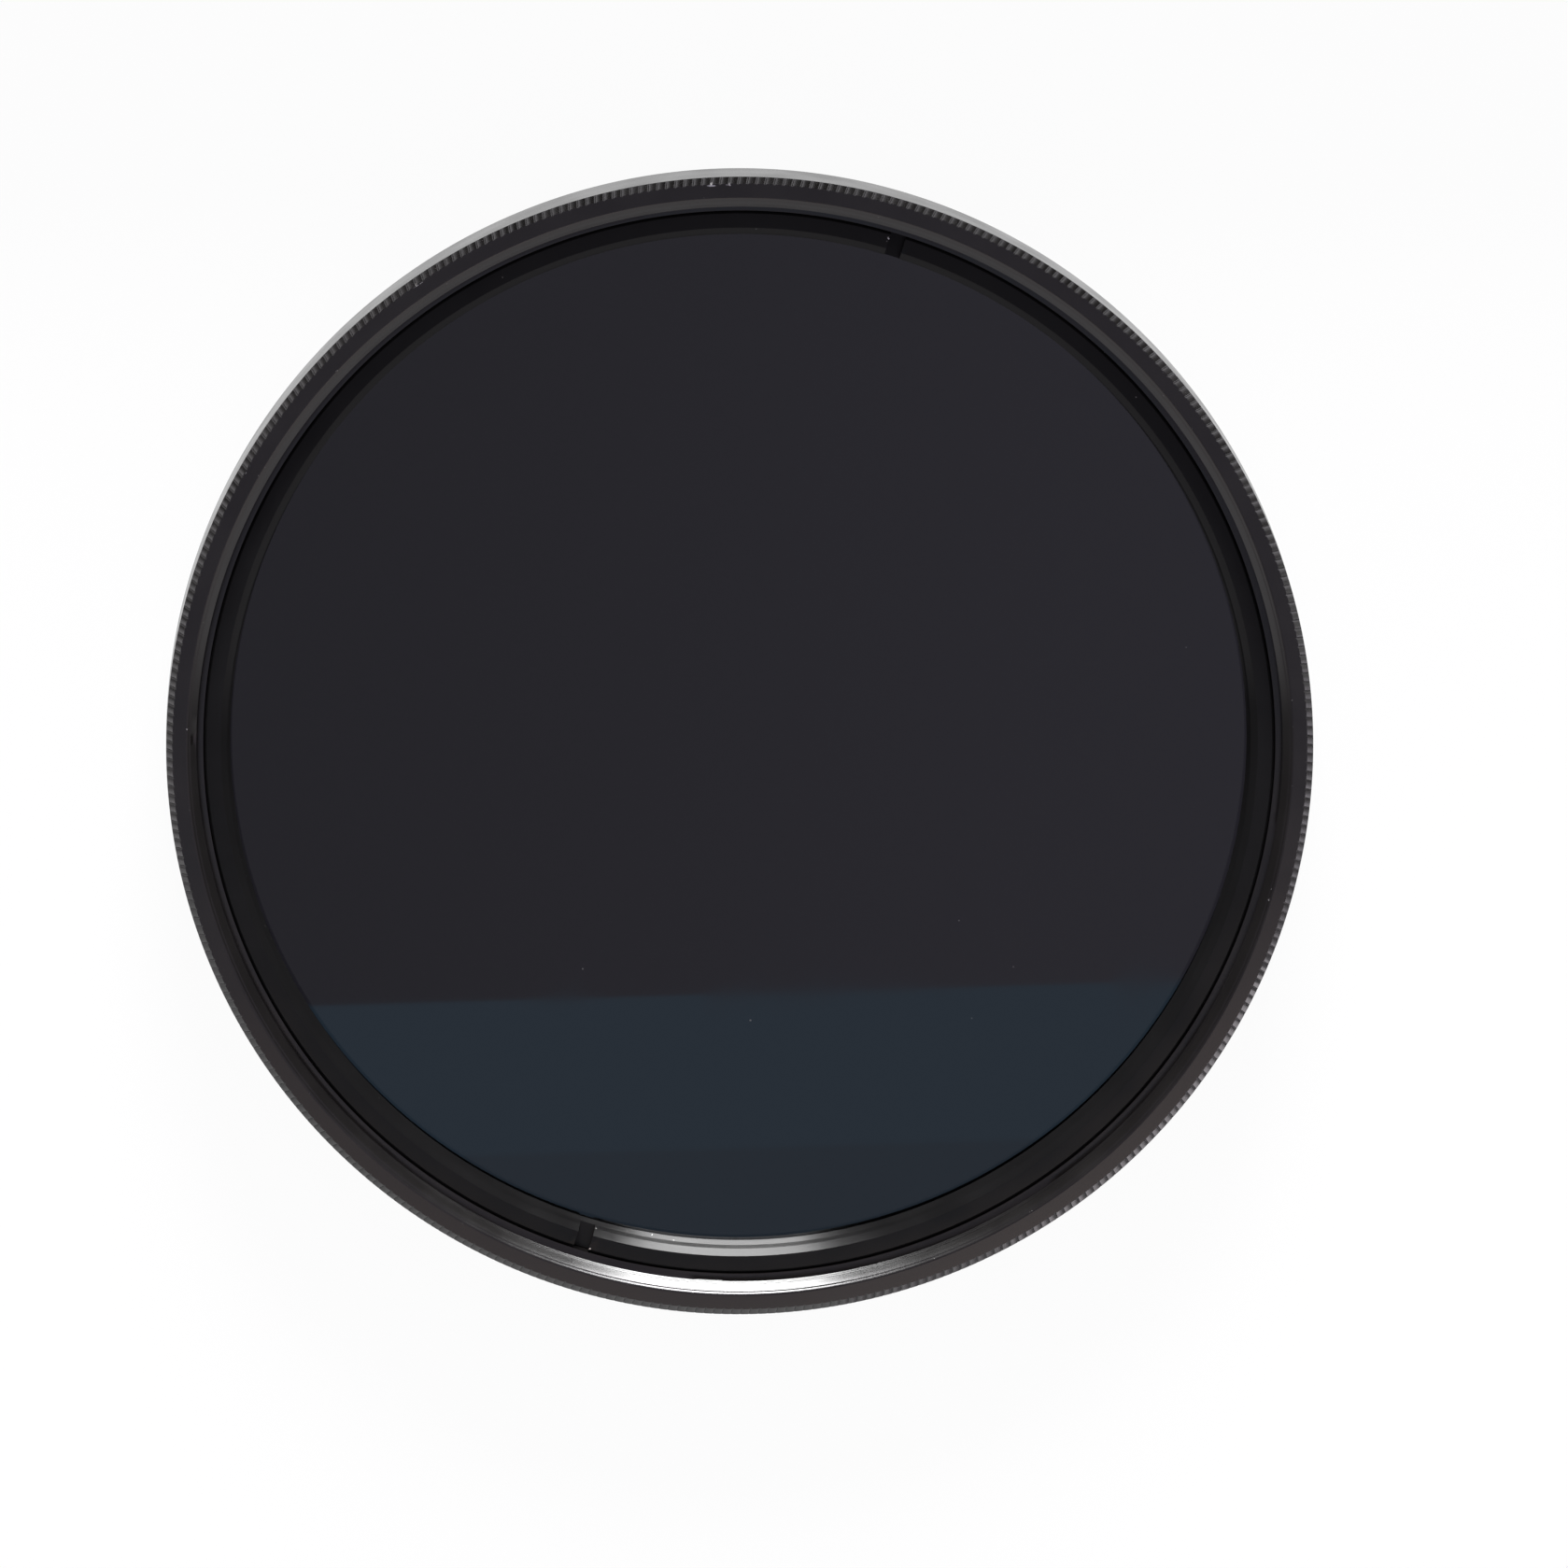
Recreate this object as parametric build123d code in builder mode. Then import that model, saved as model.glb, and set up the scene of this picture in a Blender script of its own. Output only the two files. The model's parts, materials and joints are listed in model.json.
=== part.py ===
from build123d import *
from math import atan2, degrees, hypot, pi
import os

# A screw-in lens filter lying on its threaded rear end, front face up.
# The optical axis is Z and the origin is the centre of the rear end.

# Lens thread, the same at the rear end and in the front; the other diameters follow from it
thread_diameter = 77.0
thread_pitch = 0.75
thread_depth = 0.5413 * thread_pitch

# Rim of the filter ring
rim_overhang = 1.7
rim_diameter = thread_diameter + 2 * rim_overhang
rim_height = 6.2
rim_rear_chamfer = 0.25

# Rear spigot that carries the male thread, with a run-out groove that slopes up to the shoulder
spigot_length = 2.2
spigot_end_chamfer = 0.35
relief_width = 0.45
relief_depth = 0.45
relief_flat = 0.2
shoulder_clearance = 0.05

# Front opening with the female thread
front_lead_in = 0.65

# Knurl: fine V grooves across the bevel at the front edge of the rim, with one flat for each tooth
knurl_teeth = 396
knurl_sink = 0.06
bevel_width = 0.43
bevel_height = 0.5
groove_depth = 0.14
groove_share = 0.36

# Dark glass disc on its lip, in a pocket that is narrower than the thread
pocket_step = 0.9
pocket_diameter = thread_diameter - 2 * pocket_step
glass_side_gap = 0.1
glass_diameter = pocket_diameter - 2 * glass_side_gap
glass_thickness = 2.0
glass_bevel = 0.25
lip_thickness = 0.7
lip_width = 2.0
lip_opening_diameter = pocket_diameter - 2 * lip_width

# Retaining ring that clamps the glass, its face just below the floor of the front opening
retainer_height = 3.2
retainer_recess = 0.1
retainer_side_gap = 0.05
retainer_diameter = pocket_diameter - 2 * retainer_side_gap
retainer_width = 1.85
retainer_opening_diameter = retainer_diameter - 2 * retainer_width
retainer_wall_flare = 0.2
retainer_inner_chamfer = 0.48
retainer_outer_chamfer = 0.15

# Two opposite spanner slots across the retaining ring
slot_width = 1.1
slot_depth = 1.6
slot_angle = 72.7

# Levels above the rear end
glass_bottom = lip_thickness
glass_top = glass_bottom + glass_thickness
retainer_top = glass_top + retainer_height
front_face = spigot_length + rim_height
front_bore_floor = retainer_top + retainer_recess
knurl_bottom = front_face - bevel_height

# Radii
thread_radius = thread_diameter / 2
relief_radius = thread_radius - relief_depth
shoulder_radius = thread_radius + shoulder_clearance
rim_radius = rim_diameter / 2
tooth_radius = rim_radius - knurl_sink
front_bore_radius = thread_radius - thread_depth
lead_in_radius = front_bore_radius + front_lead_in
glass_radius = glass_diameter / 2
pocket_radius = pocket_diameter / 2
lip_radius = lip_opening_diameter / 2
retainer_radius = retainer_diameter / 2
opening_radius = retainer_opening_diameter / 2
wall_front_radius = opening_radius + retainer_wall_flare
face_inner_radius = wall_front_radius + retainer_inner_chamfer

# Section of a groove, square to the bevel: half as wide at the bevel as at the cutter's top
groove_width = groove_share * 2 * pi * tooth_radius / knurl_teeth
bevel_slant = hypot(bevel_width, bevel_height)
root_radius = tooth_radius - groove_depth * bevel_height / bevel_slant
root_level = knurl_bottom - groove_depth * bevel_width / bevel_slant

# Cutter for one groove, whose root runs along the bevel
with BuildPart() as groove_cutter:
    groove_plane = Plane(
        origin=(root_radius, 0, root_level),
        x_dir=(0, 1, 0),
        z_dir=(bevel_width, 0, -bevel_height),
    )
    with BuildSketch(groove_plane):
        with BuildLine():
            Polyline((0, 0), (groove_width, 2 * groove_depth), (-groove_width, 2 * groove_depth), close=True)
        make_face()
    extrude(amount=2 * bevel_slant, both=True)

# Knurled bevel: a many-sided disc that narrows to the front face, with a groove at each corner
with BuildPart() as knurl:
    with BuildSketch(Plane.XY.offset(knurl_bottom)):
        RegularPolygon(tooth_radius, knurl_teeth)
    extrude(amount=bevel_height, taper=degrees(atan2(bevel_width, bevel_height)))
    with PolarLocations(0, knurl_teeth):
        add(groove_cutter.part, mode=Mode.SUBTRACT)

# Filter ring: turned outside, knurled bevel on top, bored inside
with BuildPart() as filter_ring:
    with BuildSketch(Plane.XZ):
        with BuildLine():
            Polyline(
                (0, 0),
                (thread_radius - spigot_end_chamfer, 0),
                (thread_radius, spigot_end_chamfer),
                (thread_radius, spigot_length - relief_width),
                (relief_radius, spigot_length - relief_width),
                (relief_radius, spigot_length - relief_width + relief_flat),
                (shoulder_radius, spigot_length),
                (rim_radius - rim_rear_chamfer, spigot_length),
                (rim_radius, spigot_length + rim_rear_chamfer),
                (rim_radius, knurl_bottom),
                (0, knurl_bottom),
                close=True,
            )
        make_face()
    revolve(axis=Axis.Z)
    add(knurl.part)
    with BuildSketch(Plane.XZ):
        with BuildLine():
            Polyline(
                (0, 0),
                (lip_radius, 0),
                (lip_radius, glass_bottom),
                (pocket_radius, glass_bottom),
                (pocket_radius, front_bore_floor),
                (front_bore_radius, front_bore_floor),
                (front_bore_radius, front_face - front_lead_in),
                (lead_in_radius, front_face),
                (0, front_face),
                close=True,
            )
        make_face()
    revolve(axis=Axis.Z, mode=Mode.SUBTRACT)

# Glass disc with ground edges
with BuildPart() as nd_glass:
    with BuildSketch(Plane.XY.offset(glass_bottom)):
        Circle(glass_radius)
    extrude(amount=glass_thickness)
    chamfer(nd_glass.edges().filter_by(GeomType.CIRCLE), length=glass_bevel)

# Retaining ring: turned section with a flared wall, then the spanner slots
with BuildPart() as retaining_ring:
    with BuildSketch(Plane.XZ):
        with BuildLine():
            Polyline(
                (opening_radius, glass_top),
                (retainer_radius, glass_top),
                (retainer_radius, retainer_top - retainer_outer_chamfer),
                (retainer_radius - retainer_outer_chamfer, retainer_top),
                (face_inner_radius, retainer_top),
                (wall_front_radius, retainer_top - retainer_inner_chamfer),
                close=True,
            )
        make_face()
    revolve(axis=Axis.Z)
    with BuildSketch(Plane.XY.offset(retainer_top)):
        with Locations(Rotation(0, 0, slot_angle)):
            Rectangle(2 * rim_diameter, slot_width)
    extrude(amount=-slot_depth, mode=Mode.SUBTRACT)

os.makedirs("parts", exist_ok=True)
filter_ring.part.label = "filter_ring"
export_step(filter_ring.part, "parts/filter_ring.step")
nd_glass.part.label = "nd_glass"
export_step(nd_glass.part, "parts/nd_glass.step")
retaining_ring.part.label = "retaining_ring"
export_step(retaining_ring.part, "parts/retaining_ring.step")
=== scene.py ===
"""Screw-in lens filter: its visual pieces and studio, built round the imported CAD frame."""

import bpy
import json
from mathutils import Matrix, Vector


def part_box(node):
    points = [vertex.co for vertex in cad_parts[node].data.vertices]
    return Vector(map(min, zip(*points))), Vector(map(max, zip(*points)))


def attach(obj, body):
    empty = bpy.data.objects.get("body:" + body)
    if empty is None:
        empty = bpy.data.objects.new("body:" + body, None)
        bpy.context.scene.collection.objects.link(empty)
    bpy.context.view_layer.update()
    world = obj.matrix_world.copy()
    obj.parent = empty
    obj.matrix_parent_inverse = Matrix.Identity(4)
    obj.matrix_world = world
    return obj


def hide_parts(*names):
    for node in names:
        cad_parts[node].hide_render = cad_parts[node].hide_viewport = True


bl_info = {
    "name": "Screw-in lens filter",
    "version": (1, 0, 0),
    "blender": (4, 5, 0),
    "location": "View3D > Sidebar > Lens Filter",
    "description": "Builds a dark screw-in lens filter and its studio round the CAD frame",
    "category": "Add Mesh",
}

import json
import math

import bmesh
import bpy
import numpy as np
from bpy.props import FloatProperty, FloatVectorProperty, IntProperty, IntVectorProperty, PointerProperty
from bpy.types import Operator, Panel, PropertyGroup
from mathutils import Matrix, Vector

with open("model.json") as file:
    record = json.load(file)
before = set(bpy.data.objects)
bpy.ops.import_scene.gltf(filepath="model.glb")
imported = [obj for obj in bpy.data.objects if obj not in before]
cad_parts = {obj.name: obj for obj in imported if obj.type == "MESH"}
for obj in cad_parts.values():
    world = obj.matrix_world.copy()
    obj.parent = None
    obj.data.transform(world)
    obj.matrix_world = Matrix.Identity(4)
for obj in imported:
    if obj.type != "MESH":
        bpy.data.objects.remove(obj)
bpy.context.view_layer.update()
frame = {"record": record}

MM = 0.001
MOUNTS = {mount["name"]: mount for mount in frame["record"]["mounts"]}
RING_LOW, RING_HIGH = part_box("filter_ring")
GLASS_LOW, GLASS_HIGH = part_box("nd_glass")
RETAINER_LOW, RETAINER_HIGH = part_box("retaining_ring")
THREAD_MAJOR = MOUNTS["rear_thread"]["dims"]["r_mm"] * MM
THREAD_MINOR = MOUNTS["front_thread"]["dims"]["r_mm"] * MM
SHOULDER_LEVEL = MOUNTS["rear_shoulder"]["pos_m"][2]
MERGE_DISTANCE = 0.0002 * MM
SHARP_ANGLE = math.radians(33.0)


# Settings

class FilterRingSettings(PropertyGroup):
    thread_pitch: FloatProperty(
        name="Thread pitch", description="Axial step of one turn of both lens threads",
        default=0.75 * MM, unit="LENGTH", precision=5)
    front_thread_start: FloatProperty(
        name="Front thread start", description="Height that sets where the front thread leaves the lead-in",
        default=0.3 * MM, unit="LENGTH", precision=5)
    thread_start_angle: FloatProperty(
        name="Thread start angle", description="Direction in which the front thread starts in the lead-in",
        default=math.radians(179.0), subtype="ANGLE", unit="ROTATION")
    lead_in: FloatProperty(
        name="Lead-in", description="Width of the cone that leads into the front thread",
        default=0.578 * MM, unit="LENGTH", precision=5)
    lead_in_height: FloatProperty(
        name="Lead-in height", description="Height of the cone that leads into the front thread",
        default=0.482 * MM, unit="LENGTH", precision=5)
    run_out: FloatProperty(
        name="Run-out", description="How far the floor of the front thread falls towards the thread",
        default=0.047 * MM, unit="LENGTH", precision=5)
    front_floor: FloatProperty(
        name="Thread floor", description="Height of the floor at the end of the front thread",
        default=6.0 * MM, unit="LENGTH", precision=5)
    pocket_radius: FloatProperty(
        name="Pocket radius", description="Radius of the pocket that takes the glass and its retaining ring",
        default=37.6 * MM, unit="LENGTH", precision=5)
    lip_radius: FloatProperty(
        name="Lip radius", description="Radius of the opening in the lip behind the glass",
        default=35.6 * MM, unit="LENGTH", precision=5)
    rear_chamfer: FloatProperty(
        name="Rim rear chamfer", description="Chamfer at the rear edge of the smooth rim",
        default=0.25 * MM, unit="LENGTH", precision=5)
    spigot_chamfer: FloatProperty(
        name="Spigot chamfer", description="Chamfer at the end of the male thread",
        default=0.35 * MM, unit="LENGTH", precision=5)
    relief_width: FloatProperty(
        name="Run-out width", description="Width of the run-out groove behind the male thread",
        default=0.45 * MM, unit="LENGTH", precision=5)
    relief_depth: FloatProperty(
        name="Run-out depth", description="Depth of the run-out groove behind the male thread",
        default=0.45 * MM, unit="LENGTH", precision=5)
    knurl_teeth: IntProperty(
        name="Knurl teeth", description="Number of grooves round the front edge of the rim",
        default=396, min=60)
    bevel_width: FloatProperty(
        name="Bevel width", description="Width of the knurled bevel on the front face",
        default=0.43 * MM, unit="LENGTH", precision=5)
    bevel_height: FloatProperty(
        name="Bevel height", description="Height of the knurled bevel on the side of the rim",
        default=0.5 * MM, unit="LENGTH", precision=5)
    groove_depth: FloatProperty(
        name="Groove depth", description="Depth of the knurl's grooves, square to the bevel",
        default=0.07 * MM, unit="LENGTH", precision=5)
    groove_share: FloatProperty(
        name="Groove share", description="Share of the knurl's pitch that a groove takes on the bevel",
        default=0.32, subtype="FACTOR", min=0.1, max=0.8)
    groove_lean: FloatProperty(
        name="Groove lean", description="Lean of the grooves from the radius of the front face",
        default=math.radians(15.0), subtype="ANGLE", unit="ROTATION")
    mouth_ledge: FloatProperty(
        name="Mouth ledge", description="Width of the narrow step at the top of the lead-in",
        default=0.1 * MM, unit="LENGTH", precision=5)
    mouth_edge: FloatProperty(
        name="Mouth edge", description="Height of the rounded edge between that step and the front face",
        default=0.1 * MM, unit="LENGTH", precision=5)
    edge_round: FloatProperty(
        name="Edge round", description="Size of the broken edges",
        default=0.04 * MM, unit="LENGTH", precision=5)
    anodise_color: FloatVectorProperty(
        name="Anodise colour", description="Colour of the black anodised ring",
        default=(0.0048, 0.0040, 0.0038), subtype="COLOR", min=0.0, max=1.0)
    bare_color: FloatVectorProperty(
        name="Bare metal colour", description="Colour of aluminium where the edges are worn",
        default=(0.60, 0.59, 0.58), subtype="COLOR", min=0.0, max=1.0)


class RetainingRingSettings(PropertyGroup):
    opening_radius: FloatProperty(
        name="Opening radius", description="Radius of the opening at the glass",
        default=35.7 * MM, unit="LENGTH", precision=5)
    wall_flare: FloatProperty(
        name="Wall flare", description="How much the inner wall opens towards the front",
        default=0.2 * MM, unit="LENGTH", precision=5)
    inner_chamfer: FloatProperty(
        name="Inner chamfer", description="Width of the chamfer between the inner wall and the face",
        default=0.48 * MM, unit="LENGTH", precision=5)
    inner_chamfer_height: FloatProperty(
        name="Inner chamfer height", description="Height of the chamfer between the inner wall and the face",
        default=0.41 * MM, unit="LENGTH", precision=5)
    outer_chamfer: FloatProperty(
        name="Outer chamfer", description="Chamfer at the outer edge of the face",
        default=0.15 * MM, unit="LENGTH", precision=5)
    ridge_depth: FloatProperty(
        name="Ridge depth", description="Depth of the fine ridges turned in the inner wall",
        default=0.103 * MM, unit="LENGTH", precision=5)
    ridges: IntVectorProperty(
        name="Ridges", description="Number of ridges in the inner wall above and below the slots' floors",
        default=(4, 6), size=2, min=1)
    slot_width: FloatProperty(
        name="Slot width", description="Width of the two spanner slots",
        default=1.1 * MM, unit="LENGTH", precision=5)
    slot_depth: FloatProperty(
        name="Slot depth", description="Depth of the two spanner slots",
        default=1.6 * MM, unit="LENGTH", precision=5)
    slot_angle: FloatProperty(
        name="Slot angle", description="Direction of the line through the two slots",
        default=math.radians(72.7), subtype="ANGLE", unit="ROTATION")
    edge_round: FloatProperty(
        name="Edge round", description="Size of the broken edges",
        default=0.03 * MM, unit="LENGTH", precision=5)
    anodise_color: FloatVectorProperty(
        name="Anodise colour", description="Colour of the black anodised retaining ring",
        default=(0.0068, 0.0066, 0.0068), subtype="COLOR", min=0.0, max=1.0)


class GlassSettings(PropertyGroup):
    bevel: FloatProperty(
        name="Bevel", description="Ground bevel round both faces of the glass",
        default=0.25 * MM, unit="LENGTH", precision=5)
    tint: FloatVectorProperty(
        name="Tint", description="Colour of the light that passes through the glass",
        default=(0.010, 0.010, 0.011), subtype="COLOR", min=0.0, max=1.0)
    coating: FloatVectorProperty(
        name="Coating", description="Tint that the coating gives to reflections",
        default=(0.92, 0.94, 1.0), subtype="COLOR", min=0.0, max=1.0)


class StudioSettings(PropertyGroup):
    camera_distance: FloatProperty(
        name="Camera distance", description="Distance from the camera to the front face",
        default=2.0, unit="LENGTH")
    camera_tilt: FloatProperty(
        name="Camera tilt", description="Lean of the camera from the axis towards the top of the picture",
        default=math.radians(7.45), subtype="ANGLE", unit="ROTATION")
    camera_sway: FloatProperty(
        name="Camera sway", description="Lean of the camera towards the left of the picture",
        default=math.radians(1.0), subtype="ANGLE", unit="ROTATION")
    picture_width: FloatProperty(
        name="Picture width", description="Width of the view at the front face",
        default=109.85 * MM, unit="LENGTH")
    aim: FloatVectorProperty(
        name="Aim", description="Point of the front face plane in the middle of the picture",
        default=(3.081 * MM, -2.561 * MM), size=2, unit="LENGTH", precision=5)
    floor_color: FloatVectorProperty(
        name="Floor colour", description="Colour of the pale floor",
        default=(0.86, 0.86, 0.86), subtype="COLOR", min=0.0, max=1.0)
    ceiling_left: FloatVectorProperty(
        name="Ceiling left", description="Dim light from straight above, at the left of the reflections",
        default=(0.28, 0.26, 0.32), subtype="COLOR", min=0.0, max=1.0)
    ceiling_right: FloatVectorProperty(
        name="Ceiling right", description="Dim light from straight above, at the right of the reflections",
        default=(0.40, 0.37, 0.46), subtype="COLOR", min=0.0, max=1.0)
    side_color: FloatVectorProperty(
        name="Side colour", description="Dim light from the sides",
        default=(0.15, 0.15, 0.16), subtype="COLOR", min=0.0, max=1.0)
    wall_color: FloatVectorProperty(
        name="Wall colour", description="Light from the pale wall beyond the bottom of the picture",
        default=(1.0, 0.97, 1.0), subtype="COLOR", min=0.0, max=1.0)
    softbox_power: FloatProperty(
        name="Softbox power", description="Power of the softbox beyond the top of the picture, in watts",
        default=25.0, min=0.0)
    fill_power: FloatProperty(
        name="Fill power", description="Power of the large soft light overhead, in watts",
        default=3.5, min=0.0)


class LensFilterSettings(PropertyGroup):
    ring: PointerProperty(type=FilterRingSettings)
    retainer: PointerProperty(type=RetainingRingSettings)
    glass: PointerProperty(type=GlassSettings)
    studio: PointerProperty(type=StudioSettings)


# Turned meshes

class Turning:
    """Gathers rings of points round the optical axis and the faces between them."""

    def __init__(self, angles):
        self.angles = np.asarray(angles, float)
        self.points = []
        self.wear = []
        self.faces = []

    def ring(self, radius, height, wear=0.0, angles=None):
        """Adds one ring of points and returns their numbers."""
        angles = self.angles if angles is None else np.asarray(angles, float)
        radius, height, wear = (np.broadcast_to(value, angles.shape) for value in (radius, height, wear))
        first = len(self.wear)
        self.points += np.stack([radius * np.cos(angles), radius * np.sin(angles), height], axis=1).tolist()
        self.wear += wear.tolist()
        return np.arange(first, len(self.wear))

    def join(self, ring, other):
        """Fills the band between two rings that have one point for each column."""
        self.fill(ring, np.roll(ring, -1), np.roll(other, -1), other)

    def fill(self, *corners):
        """Adds one face for each column from rings that name its corners in order."""
        self.faces += np.stack(corners, axis=1).tolist()

    def turn(self, section):
        """Turns a section of (radius, height, wear) points and returns its first and last ring."""
        rings = [self.ring(*point) for point in section]
        for ring, other in zip(rings, rings[1:]):
            self.join(ring, other)
        return rings[0], rings[-1]

    def thread(self, low, high, ends, pitch, start, profile, trim=None):
        """Cuts a right-hand thread between two heights, where it ends in rings of the two end radii.
        The profile is one pitch of (share of the pitch, radius, wear).
        Trim, where it is given, limits a radius at a height."""
        share_of_turn = self.angles / math.tau
        # Spare laps at both ends, which the two heights clip
        first = math.floor((low - start) / pitch) - 2
        last = math.ceil((high - start) / pitch) + 1
        rows = []
        for lap in range(first, last + 1):
            for share, radius, wear in profile:
                height = np.clip(start + pitch * (lap + share + share_of_turn), low, high)
                level = trim(height, radius) if trim else radius
                level = np.where(height <= low, ends[0], level)
                level = np.where(height >= high, ends[1], level)
                rows.append(self.ring(level, height, wear))
        lap_rows = len(profile)
        for number, (row, above) in enumerate(zip(rows, rows[1:])):
            self.faces += np.stack([row[:-1], row[1:], above[1:], above[:-1]], axis=1).tolist()
            if number + lap_rows + 1 < len(rows):
                next_lap, next_above = rows[number + lap_rows:number + lap_rows + 2]
                self.faces.append([row[-1], next_lap[0], next_above[0], above[-1]])

    def make(self, name, sharp_angle):
        """Makes the object, with points that coincide merged and edges sharp above an angle."""
        mesh = bpy.data.meshes.new(name)
        mesh.from_pydata(self.points, [], self.faces)
        mesh.attributes.new("edge_wear", "FLOAT", "POINT").data.foreach_set("value", self.wear)
        shape = bmesh.new()
        shape.from_mesh(mesh)
        bmesh.ops.remove_doubles(shape, verts=shape.verts, dist=MERGE_DISTANCE)
        bmesh.ops.recalc_face_normals(shape, faces=shape.faces)
        shape.to_mesh(mesh)
        shape.free()
        mesh.shade_smooth()
        mesh.set_sharp_from_angle(angle=sharp_angle)
        piece = bpy.data.objects.new(name, mesh)
        bpy.context.scene.collection.objects.link(piece)
        weighted = piece.modifiers.new("Flat faces stay flat", "WEIGHTED_NORMAL")
        weighted.keep_sharp = True
        return piece


def rounded(corners, reach=0.45):
    """Section points in which each (radius, height, round, wear) corner becomes a small arc.
    An arc takes no more of a side than the share in reach."""
    section = []
    for i, (radius, height, size, wear) in enumerate(corners):
        if size == 0.0:
            section.append((radius, height, wear))
            continue
        here = np.array((radius, height))
        back = np.array(corners[i - 1][:2]) - here
        onward = np.array(corners[i + 1][:2]) - here
        start = here + back * min(size / np.linalg.norm(back), reach)
        end = here + onward * min(size / np.linalg.norm(onward), reach)
        middle = start / 4 + here / 2 + end / 4
        section += [(*point, wear) for point in (start, middle, end)]
    return section


# Shader nodes

def add_node(tree, kind, inputs=None, **settings):
    """Adds a node, with values or links for its inputs."""
    made = tree.nodes.new(kind)
    for key, value in settings.items():
        setattr(made, key, value)
    for key, value in (inputs or {}).items():
        if isinstance(value, bpy.types.NodeSocket):
            tree.links.new(value, made.inputs[key])
        else:
            made.inputs[key].default_value = value
    return made


def calculate(tree, operation, first, second=0.0, third=0.0):
    """Adds a Math node and returns its result."""
    made = add_node(tree, "ShaderNodeMath", {0: first, 1: second, 2: third}, operation=operation)
    return made.outputs[0]


def remap(tree, value, low, high, to_low=0.0, to_high=1.0):
    """Adds a smooth Map Range node and returns its result."""
    inputs = {"Value": value, "From Min": low, "From Max": high, "To Min": to_low, "To Max": to_high}
    made = add_node(tree, "ShaderNodeMapRange", inputs, interpolation_type="SMOOTHSTEP")
    return made.outputs["Result"]


def blend_color(tree, share, first, second):
    """Adds a colour Mix node and returns its result."""
    made = add_node(tree, "ShaderNodeMix", {"Factor": share}, data_type="RGBA")
    for socket, value in ((made.inputs[6], first), (made.inputs[7], second)):
        if isinstance(value, bpy.types.NodeSocket):
            tree.links.new(value, socket)
        else:
            socket.default_value = value
    return made.outputs[2]


def new_group(name, inputs, outputs):
    """Starts a shader node group with named value sockets."""
    group = bpy.data.node_groups.new(name, "ShaderNodeTree")
    for label, default in inputs.items():
        socket = group.interface.new_socket(label, in_out="INPUT", socket_type="NodeSocketFloat")
        socket.default_value = default
    for label in outputs:
        group.interface.new_socket(label, in_out="OUTPUT", socket_type="NodeSocketFloat")
    given = group.nodes.new("NodeGroupInput").outputs
    result = group.nodes.new("NodeGroupOutput").inputs
    return group, given, result


def turned_lines_group():
    """Fine concentric lines that a lathe tool leaves."""
    group = bpy.data.node_groups.get("Turned lines")
    if group:
        return group
    group, given, result = new_group("Turned lines", {"Lines per metre": 15000.0}, ("Height", "Variation"))
    place = add_node(group, "ShaderNodeTexCoord").outputs["Object"]
    split = add_node(group, "ShaderNodeSeparateXYZ", {0: place}).outputs
    flat = add_node(group, "ShaderNodeCombineXYZ", {"X": split["X"], "Y": split["Y"]}).outputs[0]
    radius = add_node(group, "ShaderNodeVectorMath", {0: flat}, operation="LENGTH").outputs["Value"]
    section = add_node(group, "ShaderNodeCombineXYZ", {"X": radius, "Y": split["Z"]}).outputs[0]
    lines = add_node(
        group, "ShaderNodeTexNoise",
        {"Vector": section, "Scale": given["Lines per metre"], "Detail": 2.0, "Roughness": 0.6},
        noise_dimensions="2D").outputs[0]
    clouds = add_node(
        group, "ShaderNodeTexNoise", {"Vector": place, "Scale": 260.0, "Detail": 3.0}).outputs[0]
    group.links.new(lines, result["Height"])
    group.links.new(clouds, result["Variation"])
    return group


def edge_wear_group():
    """Broken bare-metal marks along the edges that the mesh names in its edge_wear values."""
    group = bpy.data.node_groups.get("Edge wear")
    if group:
        return group
    group, given, result = new_group("Edge wear", {"Amount": 0.5, "Marks per metre": 2600.0}, ("Mask",))
    place = add_node(group, "ShaderNodeTexCoord").outputs["Object"]
    edges = add_node(group, "ShaderNodeAttribute", attribute_name="edge_wear").outputs["Fac"]
    marks = add_node(
        group, "ShaderNodeTexNoise",
        {"Vector": place, "Scale": given["Marks per metre"], "Detail": 3.0, "Roughness": 0.65}).outputs[0]
    mark_blur = 0.08
    reach = calculate(group, "MULTIPLY", given["Amount"], edges)
    level = calculate(group, "SUBTRACT", 1.0, reach)
    mask = calculate(group, "SUBTRACT", marks, level)
    group.links.new(remap(group, mask, 0.0, mark_blur), result["Mask"])
    return group


def dust_group():
    """Scattered specks of dust and faint smudges."""
    group = bpy.data.node_groups.get("Dust")
    if group:
        return group
    group, given, result = new_group(
        "Dust", {"Cells per metre": 400.0, "Speck size": 0.03, "Share": 0.3}, ("Specks", "Smudges"))
    place = add_node(group, "ShaderNodeTexCoord").outputs["Object"]
    cells = add_node(group, "ShaderNodeTexVoronoi", {"Vector": place, "Scale": given["Cells per metre"]})
    split = add_node(group, "ShaderNodeSeparateColor", {0: cells.outputs["Color"]}).outputs
    size = calculate(group, "MULTIPLY", given["Speck size"], split["Green"])
    inside = calculate(group, "LESS_THAN", cells.outputs["Distance"], size)
    kept = calculate(group, "LESS_THAN", split["Red"], given["Share"])
    group.links.new(calculate(group, "MULTIPLY", inside, kept), result["Specks"])
    smudge_range = (0.5, 0.75)
    smudges = add_node(
        group, "ShaderNodeTexNoise",
        {"Vector": place, "Scale": 55.0, "Detail": 4.0, "Distortion": 0.6}).outputs[0]
    group.links.new(remap(group, smudges, *smudge_range), result["Smudges"])
    return group


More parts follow.
